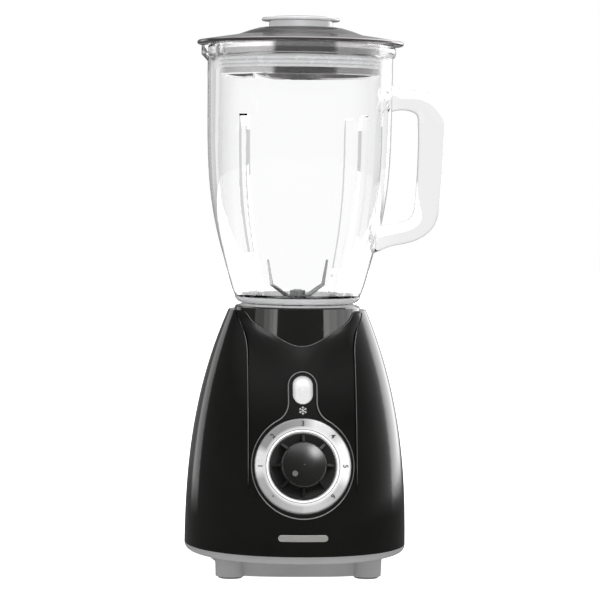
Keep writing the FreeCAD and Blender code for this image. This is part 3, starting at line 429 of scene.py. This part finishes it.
FINISHES = {
    "shell_black": shell_black(),
    "collar_black": collar_black(),
    "lid_grey": lid_grey(),
    "jug_glass": jug_glass(),
    "cap_clear": cap_clear(),
    "seal_clear": seal_clear(),
    "button_silver": button_silver(),
    "knob_black": knob_black(),
    "copper_wire": copper_wire(),
    "board_green": board_green(),
    "lamination_steel": lamination_steel(),
    "satin_aluminium": spun_metal("satin_aluminium", RING_PAINTED_SHEEN, 0.26, 0.6, 0.3),
    "bright_trim": spun_metal("bright_trim", TRIM_PAINTED_SHEEN, 0.24, 0.4, 0.1),
    "tray_grey": moulded("tray_grey", (0.262, 0.262, 0.266), 0.38, spread=0.05),
    "rubber_black": moulded("rubber_black", grey(0.018), 0.62),
    "rubber_grey": moulded("rubber_grey", grey(0.12), 0.62),
    "switch_black": moulded("switch_black", grey(0.02), 0.45),
    "carbon": moulded("carbon", grey(0.02), 0.7, depth=0.00005),
    "fan_nylon": moulded("fan_nylon", grey(0.025), 0.42),
    "coupling_nylon": moulded("coupling_nylon", grey(0.02), 0.40),
    "ring_grey": moulded("ring_grey", grey(0.74), 0.36, spread=0.05),
    "zinc_steel": brushed("zinc_steel", (0.55, 0.56, 0.58), 0.34, (900.0, 900.0, 120.0)),
    "bearing_steel": brushed("bearing_steel", (0.60, 0.61, 0.62), 0.22, (60.0, 60.0, 2600.0)),
    "cast_aluminium": brushed("cast_aluminium", (0.52, 0.53, 0.54), 0.5, (700.0, 700.0, 700.0), 0.00005),
    "brass": brushed("brass", (0.72, 0.52, 0.22), 0.3, (200.0, 2000.0, 200.0)),
    "bronze": brushed("bronze", (0.45, 0.30, 0.15), 0.45, (1200.0, 1200.0, 1200.0), 0.00003),
    "stainless": brushed("stainless", (0.32, 0.32, 0.325), 0.24, (260.0, 260.0, 1500.0), 0.000006),
}
for part in frame["record"]["subparts"]:
    slots = nodes[part["node"]].data.materials
    slots.clear()
    slots.append(FINISHES[part["material_slot"]].mat)

# finishes of small marks and edges that the record has no slot for
MARKS = {
    "mark_grey": moulded("mark_grey", grey(0.035), 0.5),
    "mark_light": moulded("mark_light", grey(0.55), 0.45),
    "badge_silver": brushed("badge_silver", (0.36, 0.355, 0.34), 0.36, (120.0, 900.0, 1800.0), Metallic=0.3),
    # beads on the black shell: real rounded edges, whose lighter grey is a painted highlight line
    "edge_painted_highlight": moulded("edge_painted_highlight", grey(0.12), 0.22, depth=0.000002, Specular_IOR_Level=0.8),
    "lip_painted_highlight": moulded("lip_painted_highlight", grey(0.2), 0.25, depth=0.000002, Specular_IOR_Level=0.8),
    "foot_frost": foot_frost(),
    "dot_steel": moulded("dot_steel", grey(0.16), 0.35, depth=0.000002, Specular_IOR_Level=0.6),
}
nodes["knob_dot"].data.materials[0] = MARKS["dot_steel"].mat


# ---- building pieces -------------------------------------------------------------------------------------
def finished(bm, name, body, finish, smooth=False):
    """Turns mesh code into a piece that rides on a body."""
    bmesh.ops.recalc_face_normals(bm, faces=bm.faces)
    mesh = bpy.data.meshes.new(name)
    bm.to_mesh(mesh)
    bm.free()
    if smooth:
        mesh.shade_smooth()
    made = bpy.data.objects.new(name, mesh)
    bpy.context.scene.collection.objects.link(made)
    mesh.materials.append(MARKS[finish].mat)
    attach(made, body)
    return made


def prism(bm, outline, top, bottom):
    """Closed prism: outline points mapped to space by top() and bottom()."""
    upper = [bm.verts.new(top(*p)) for p in outline]
    lower = [bm.verts.new(bottom(*p)) for p in outline]
    bm.faces.new(upper)
    bm.faces.new(lower[::-1])
    count = len(outline)
    for k in range(count):
        bm.faces.new((upper[k], lower[k], lower[(k + 1) % count], upper[(k + 1) % count]))


def skin(bm, loops, wrap):
    """Faces between neighbouring loops of vertices; wrap also joins the last loop to the first."""
    count = len(loops)
    for k in range(count if wrap else count - 1):
        here, there = loops[k], loops[(k + 1) % count]
        for j in range(len(here)):
            n = (j + 1) % len(here)
            bm.faces.new((here[j], here[n], there[n], there[j]))


def turned_ring(name, profile, place, body, finish, count):
    """Closed ring: a closed (r, z) profile turned about the Z axis of the placed frame."""
    bm = bmesh.new()
    loops = []
    for k in range(count):
        turn = place @ Matrix.Rotation(2 * math.pi * k / count, 4, "Z")
        loops.append([bm.verts.new(turn @ Vector((r, 0.0, z))) for r, z in profile])
    skin(bm, loops, wrap=True)
    return finished(bm, name, body, finish, smooth=True)


def bead(name, points, radius, finish, closed=False, sides=8):
    """Round bead swept along points that lie on the front of the base; its open ends taper off."""
    bm = bmesh.new()
    count = len(points)
    angles = [2 * math.pi * j / sides for j in range(sides)]
    loops = []
    for k, point in enumerate(points):
        before = points[k - 1] if closed or k > 0 else point
        after = points[(k + 1) % count] if closed or k < count - 1 else point
        along = (after - before).normalized()
        side = along.cross(Vector((0, -1, 0))).normalized()
        out = side.cross(along).normalized()
        taper = 1.0 if closed else min(1.0, 0.15 + 0.1 * min(k, count - 1 - k))
        loops.append([bm.verts.new(point + radius * taper * (math.cos(a) * side + math.sin(a) * out))
                      for a in angles])
    skin(bm, loops, wrap=closed)
    if not closed:
        bm.faces.new(loops[0])
        bm.faces.new(loops[-1][::-1])
    return finished(bm, name, "base", finish, smooth=True)


def surface_of(name):
    """Ray target made from a CAD node."""
    mesh = nodes[name].data
    corners = [vertex.co.copy() for vertex in mesh.vertices]
    return BVHTree.FromPolygons(corners, [list(polygon.vertices) for polygon in mesh.polygons])


BEZEL = surface_of("control_bezel")
SHELL = surface_of("housing_shell")


def front_hit(target, x, z):
    """Point of the front surface at x and z, or None where a ray from the front misses it."""
    return target.ray_cast(Vector((x, -0.2, z)), Vector((0, 1, 0)))[0]


def on_front(target, x, z, lift):
    """Point at x and z that stands the lift in front of the surface."""
    return Vector((x, front_hit(target, x, z).y - lift, z))


def on_ring(point, height):
    """Place of a point of the dial's plane once it is raised to the height above the ring's dished face."""
    share = (math.hypot(point.x, point.y) - RING_IN) / (RING_OUT - RING_IN)
    return DIAL @ Vector((point.x, point.y, RING_IN_Z + (RING_OUT_Z - RING_IN_Z) * share + height))


def at_bearing(bearing, radius):
    """Turn and shift in the dial's plane, to a bearing in degrees clockwise from the dial's top."""
    return Matrix.Rotation(-math.radians(bearing), 4, "Z") @ Matrix.Translation((0.0, radius, 0.0))


def numeral(text, bearing):
    """Raised print of one figure, its foot towards the knob."""
    curve = bpy.data.curves.new("figure", "FONT")
    curve.body, curve.size = text, NUMERAL_SIZE
    curve.align_x, curve.align_y = "CENTER", "CENTER"
    curve.extrude, curve.offset = 0.00004, 0.00010
    curve.resolution_u = 6
    source = bpy.data.objects.new("figure", curve)
    mesh = bpy.data.meshes.new_from_object(source)
    bpy.data.objects.remove(source)
    xs = [v.co.x for v in mesh.vertices]
    ys = [v.co.y for v in mesh.vertices]
    middle = Vector(((min(xs) + max(xs)) / 2, (min(ys) + max(ys)) / 2, 0.0))
    turn = at_bearing(bearing, NUMERAL_R)
    for vertex in mesh.vertices:
        height = PRINT_TOP if vertex.co.z > 0 else PRINT_FOOT
        vertex.co = on_ring(turn @ (vertex.co - middle), height)
    bm = bmesh.new()
    bm.from_mesh(mesh)
    bmesh.ops.remove_doubles(bm, verts=bm.verts, dist=1e-7)
    return finished(bm, "numeral_" + text, "base", "mark_grey")


def off_mark(distance=0.0297, radius=0.0006, count=24):
    """Small filled circle at the off position."""
    bm = bmesh.new()
    angles = [2 * math.pi * k / count for k in range(count)]
    circle = [(radius * math.cos(a), radius * math.sin(a)) for a in angles]
    turn = at_bearing(OFF_BEARING, distance)

    def lifted(x, y, height):
        return on_ring(turn @ Vector((x, y, 0.0)), height)

    prism(bm, circle, lambda x, y: lifted(x, y, 0.00006), lambda x, y: lifted(x, y, -0.00005))
    return finished(bm, "off_mark", "base", "mark_grey")


def snowflake(centre_z=0.1213, arm=0.0029, width=0.00042, barb_at=0.58, barb=0.34, barb_turn=52):
    """Generic ice symbol below the button: three crossed bars, with small barbs sized in shares of an arm."""
    bm = bmesh.new()
    strokes = []
    for k in range(6):
        a = math.radians(90 + 60 * k)
        root = (barb_at * arm * math.cos(a), barb_at * arm * math.sin(a))
        strokes.append(((0.0, 0.0), a, arm))
        strokes += [(root, a + side * math.radians(barb_turn), barb * arm) for side in (-1, 1)]

    def lifted(x, z, lift):
        return on_front(BEZEL, AXIS.x + x, centre_z + z, lift)

    for (x0, z0), a, length in strokes:
        along = (length * math.cos(a), length * math.sin(a))
        across = (-math.sin(a) * width / 2, math.cos(a) * width / 2)
        corners = [(x0 + t * along[0] + s * across[0], z0 + t * along[1] + s * across[1])
                   for t, s in ((0, -1), (1, -1), (1, 1), (0, 1))]
        prism(bm, corners, lambda x, z: lifted(x, z, 0.00008), lambda x, z: lifted(x, z, -0.00006))
    return finished(bm, "ice_symbol", "base", "mark_light")


def bar_outline(length, radius, inset, columns=36):
    """Round-ended bar, as (x, z) about its middle, with its long sides divided to follow a curved surface."""
    outline = []
    for side in (1, -1):
        middle = side * (length / 2 - radius)
        for k in range(9):
            a = side * math.pi / 2 - math.pi * k / 8
            outline.append((middle + (radius - inset) * math.cos(a), (radius - inset) * math.sin(a)))
        x, z = outline[-1]
        outline += [(x - 2 * middle * k / columns, z) for k in range(1, columns)]
    return outline


def badge(centre_z=0.0335, length=0.035, height=0.0046, bevel=0.00035):
    """Plain bar that follows the shell's curve, with round ends and a small bevel."""
    bm = bmesh.new()
    loops = []
    for inset, lift in ((0.0, -0.0002), (0.0, 0.00035), (bevel, 0.0006)):
        outline = bar_outline(length, height / 2, inset)
        loops.append([bm.verts.new(on_front(SHELL, AXIS.x + x, centre_z + z, lift)) for x, z in outline])
    skin(bm, loops, wrap=False)
    bm.faces.new(loops[0][::-1])
    bm.faces.new(loops[-1])
    bmesh.ops.triangulate(bm, faces=[face for face in bm.faces if len(face.verts) > 4])
    return finished(bm, "badge_bar", "base", "badge_silver")


def scale_groove(inner=0.02570, outer=0.02592, top=-0.0006, foot=-0.0009):
    """Fine dark line by the inner edge of the scale ring."""
    profile = [(inner, top), (outer, top), (outer, foot), (inner, foot)]
    return turned_ring("scale_groove", profile, DIAL, "base", "mark_grey", 128)


def crease_edge(name, side, beside=0.0002, sunk=0.0001, radius=0.00028, count=60):
    """Bead along the step at one side of the front panel; its lighter grey is a painted highlight line."""
    points = []
    for k in range(count + 1):
        z = CREASE_LOW + (CREASE_HIGH - CREASE_LOW) * k / count
        half = PANEL_HALF + PANEL_FLARE * max(0.0, (z - PANEL_FLARE_Z) / PANEL_FLARE_RISE) ** 2
        points.append(on_front(SHELL, AXIS.x + side * (half + beside), z, -sunk))
    return bead(name, points, radius, "edge_painted_highlight")


def on_cone(bearing, z, gap):
    """Point at a bearing and height, the gap off the collar's cone."""
    radius = CONE_R - CONE_TAPER * (z - CONE_Z) + gap
    return Vector((AXIS.x + radius * math.sin(bearing), -radius * math.cos(bearing), z))


def shell_edge(half_span=60, lowest=0.150, highest=0.1885, meeting_gap=0.00018, bead_gap=0.00042):
    """Bead along the shell's top edge, where it meets the collar's cone, lighter grey as a painted highlight line;
    the height is found by halving.
    """
    points = []
    for degrees in range(-half_span, half_span + 1):
        bearing = math.radians(degrees)
        low, high = lowest, highest
        for _ in range(22):
            place = on_cone(bearing, (low + high) / 2, meeting_gap)
            hit = front_hit(SHELL, place.x, place.z)
            if hit is not None and hit.y < place.y:
                low = place.z
            else:
                high = place.z
        points.append(on_cone(bearing, low, bead_gap))
    return bead("shell_edge", points, 0.0003, "edge_painted_highlight")


def keyhole(grow, count=24):
    """Outline of the bezel, as (x, z) about the dial's centre: a circle blended into a round-ended neck."""
    r, half, fillet = BEZEL_R + grow, NECK_HALF + grow, NECK_FILLET - grow
    rise = math.sqrt((r + fillet) ** 2 - (half + fillet) ** 2)
    bend = math.atan2(rise, half + fillet)
    crown = NECK_TOP - NECK_HALF - DIAL_CENTRE.z
    start = math.pi / 2 - bend
    top = [math.pi / 2 * k / count for k in range(count)]
    inward = [bend * k / count for k in range(count)]
    bottom = [start + (math.pi - start) * k / (3 * count) for k in range(3 * count + 1)]
    side = [(half * math.sin(a), crown + half * math.cos(a)) for a in top]
    side += [(half, crown - (crown - rise) * k / 8) for k in range(8)]
    side += [(half + fillet * (1 - math.cos(a)), rise - fillet * math.sin(a)) for a in inward]
    side += [(r * math.sin(a), r * math.cos(a)) for a in bottom]
    return side + [(-x, z) for x, z in side[-2:0:-1]]


def bezel_lip(inset=0.00055, sunk=0.00005, radius=0.00042):
    """Bead round the bezel, just inside its outline; its lighter grey is a painted highlight line."""
    points = [on_front(BEZEL, AXIS.x + x, DIAL_CENTRE.z + z, -sunk) for x, z in keyhole(-inset)]
    return bead("bezel_lip", points, radius, "lip_painted_highlight", closed=True)


def foot_band(gap=0.00012, thickness=0.0003):
    """Frosted band round the foot of the jug, the gap off its outer curve."""
    curve = [(0.0408, 0.19405), (0.0430, 0.1951), (0.0448, 0.1973), (0.0453, 0.1985)]
    outer = [(r + gap + thickness, z) for r, z in curve]
    inner = [(r + gap, z) for r, z in curve]
    return turned_ring("foot_band", outer + inner[::-1], Matrix.Translation(AXIS), "jug", "foot_frost", 160)


for figure in range(1, 7):
    numeral(str(figure), OFF_BEARING + CLICK * figure)
off_mark()
snowflake()
badge()
scale_groove()
crease_edge("crease_edge_left", -1)
crease_edge("crease_edge_right", 1)
shell_edge()
bezel_lip()
foot_band()


# ---- set: floor, light, camera ---------------------------------------------------------------------------
def white_floor(half=6.0, drop=0.0002):
    mesh = bpy.data.meshes.new("floor")
    corners = [(-half, -half, 0), (half, -half, 0), (half, half, 0), (-half, half, 0)]
    mesh.from_pydata(corners, [], [(0, 1, 2, 3)])
    floor = bpy.data.objects.new("floor", mesh)
    bpy.context.scene.collection.objects.link(floor)
    floor.location.z = -drop
    finish = Finish("floor_white", Roughness=0.6, Base_Color=(0.8, 0.8, 0.8, 1.0),
                    Emission_Color=(1.0, 1.0, 1.0, 1.0), Emission_Strength=1.0)
    mesh.materials.append(finish.mat)
    floor.visible_glossy = False


# light level by bearing in degrees, 0 in front of the object and positive to its right (+X)
LOW_LIGHT = [(-180, 0.2), (-160, 0.2), (-153, 0.3), (-149, 1.25), (-137, 1.05), (-133, 0.95),
             (-130, 0.1), (180, 0.12)]
HIGH_LIGHT = [(-180, 0.2), (-158, 0.3), (-152, 0.5), (-148, 1.8), (-132, 1.5), (-129, 0.1), (180, 0.12)]
RIGHT_LIGHT = [(-180, 0.0), (52, 0.0), (76, 0.10), (87, 0.2), (94, 0.32), (102, 0.46), (109, 0.70),
               (114, 1.0), (117, 1.6), (120, 3.0), (127, 3.5), (150, 3.3), (155, 1.5), (160, 0.5),
               (180, 0.3)]
# light level by the upward share of the direction
TOP_LIGHT = [(0.45, 0.12), (0.60, 0.32), (0.69, 0.46), (0.726, 0.70), (0.763, 1.2), (0.80, 2.4), (1.0, 3.2)]
# the level that a colour ramp's 1 stands for, the level below the horizon, and the least through the glass
RAMP_LEVEL, BELOW_LEVEL, THROUGH_LEVEL = 4.0, 0.10, 0.65
# level that lights dull surfaces, from the horizon and how much more from above
SOFT_LEVEL, SOFT_RISE = 0.62, 0.30


def studio():
    """World light: white to the camera and through the glass, softboxes and flags to reflections."""
    world = bpy.data.worlds.new("studio")
    bpy.context.scene.world = world
    world.use_nodes = True
    made = NodeBuilder(world.node_tree)
    made.tree.nodes.clear()
    x, y, z = made.split(made.add("ShaderNodeTexCoord").outputs["Generated"])
    bearing = made.turn_share(x, made.math("MULTIPLY", y, -1.0))

    def mixed(factor, a, b):
        rest = made.math("SUBTRACT", 1.0, factor)
        return made.math("ADD", made.math("MULTIPLY", a, rest), made.math("MULTIPLY", b, factor))

    def step(value, low, high):
        return made.remap(value, 0.0, 1.0, low, high, interpolation_type="SMOOTHSTEP")

    def graded(value, stops):
        shares = grey_stops(*[(at, level / RAMP_LEVEL) for at, level in stops])
        return made.math("MULTIPLY", made.ramp(value, shares), RAMP_LEVEL)

    def around(stops):
        return graded(bearing, [((degrees + 180.0) / 360.0, level) for degrees, level in stops])

    pattern = mixed(step(z, 0.16, 0.34), around(LOW_LIGHT), around(HIGH_LIGHT))
    right = made.math("MULTIPLY", around(RIGHT_LIGHT), step(z, -0.13, -0.02))
    pattern = made.math("MAXIMUM", made.math("ADD", pattern, right), graded(z, TOP_LIGHT))
    pattern = mixed(step(made.math("MULTIPLY", z, -1.0), 0.05, 0.12), pattern, BELOW_LEVEL)
    through = made.math("MAXIMUM", made.math("MINIMUM", pattern, 1.0), THROUGH_LEVEL)
    soft = made.math("ADD", SOFT_LEVEL, made.math("MULTIPLY", z, SOFT_RISE))

    rays = made.add("ShaderNodeLightPath").outputs
    seen = mixed(made.math("GREATER_THAN", rays["Transmission Depth"], 0.5), pattern, through)
    level = mixed(made.math("GREATER_THAN", rays["Glossy Depth"], 0.5), 1.0, seen)
    level = mixed(made.math("GREATER_THAN", rays["Diffuse Depth"], 0.5), level, soft)
    level = mixed(rays["Is Camera Ray"], level, 1.0)
    back = made.add("ShaderNodeBackground")
    made.link(level, back.inputs["Color"])
    made.link(back.outputs[0], made.add("ShaderNodeOutputWorld").inputs["Surface"])


def soft_light(name, place, aim, size, energy, target):
    """Rectangular softbox that lights, and is mirrored by, one node only."""
    data = bpy.data.lights.new(name, "AREA")
    data.shape, data.energy = "RECTANGLE", energy
    data.size, data.size_y = size
    light = bpy.data.objects.new(name, data)
    light.location = AXIS + Vector(place)
    light.rotation_euler = (AXIS + Vector(aim) - light.location).to_track_quat("-Z", "Y").to_euler()
    bpy.context.scene.collection.objects.link(light)
    receivers = bpy.data.collections.new(name + "_targets")
    receivers.objects.link(nodes[target])
    light.light_linking.receiver_collection = receivers


# upright strips that stand round the front of the collar: bearings of their edges in degrees, and level
COLLAR_STRIPS = [(-40, -47, 3.2), (-47, -54, 2.3), (-54, -66, 1.5), (-66, -86, 0.8),
                 (44, 56, 3.2), (56, 72, 2.5), (72, 92, 1.8), (92, 112, 1.3)]
STRIP_DISTANCE, STRIP_HEIGHT, STRIP_RISE = 1.6, 0.7, math.radians(6)
DIAL_FRONT = (0, -0.08, 0.083)
COLLAR_MIDDLE = (0, 0, 0.17)


def collar_light(index, start, end, level):
    bearing = math.radians((start + end) / 2)
    width = 2 * STRIP_DISTANCE * math.sin(math.radians(abs(end - start) / 2))
    away = STRIP_DISTANCE * math.cos(STRIP_RISE)
    height = COLLAR_MIDDLE[2] + STRIP_DISTANCE * math.sin(STRIP_RISE)
    place = (away * math.sin(bearing), -away * math.cos(bearing), height)
    energy = level * math.pi * width * STRIP_HEIGHT
    soft_light("collar_light_%d" % index, place, COLLAR_MIDDLE, (width, STRIP_HEIGHT), energy, "jar_collar")


white_floor()
studio()
soft_light("dome_light", (1.15, -1.3, 1.75), DIAL_FRONT, (1.0, 1.0), 62.0, "speed_knob")
soft_light("trim_light", (-0.2, -1.7, 0.75), DIAL_FRONT, (1.2, 1.2), 20.0, "dial_trim")
soft_light("ring_light", (-0.2, -1.7, 0.75), DIAL_FRONT, (1.2, 1.2), 4.5, "dial_ring")
soft_light("rim_light", (-0.2, -1.8, 0.5), (0, 0.0, 0.19), (1.2, 1.2), 9.0, "base_ring")
soft_light("cap_light", (-0.2, -1.9, 0.6), (0, 0.0, 0.39), (1.2, 1.2), 12.0, "measuring_cap")
for number, strip in enumerate(COLLAR_STRIPS):
    collar_light(number, *strip)

# camera: its place and what it looks at, both from the jug's axis, and its roll
CAMERA_PLACE, CAMERA_AIM = (-0.142, -1.9037, 0.287), (0.0019, 0.0, 0.1957)
CAMERA_ROLL = math.radians(0.72)
camera_data = bpy.data.cameras.new("camera")
camera_data.sensor_width, camera_data.lens = 36.0, 158.35
camera = bpy.data.objects.new("camera", camera_data)
camera.location = AXIS + Vector(CAMERA_PLACE)
view = (AXIS + Vector(CAMERA_AIM) - camera.location).to_track_quat("-Z", "Y")
camera.rotation_euler = (view @ Matrix.Rotation(CAMERA_ROLL, 3, "Z").to_quaternion()).to_euler()
bpy.context.scene.collection.objects.link(camera)
bpy.context.scene.camera = camera

scene = bpy.context.scene
scene.view_settings.view_transform = "Standard"
scene.cycles.max_bounces = 32
scene.cycles.transmission_bounces = 28
scene.cycles.glossy_bounces = 12
scene.cycles.transparent_max_bounces = 24
scene.cycles.caustics_reflective = True
scene.cycles.caustics_refractive = True
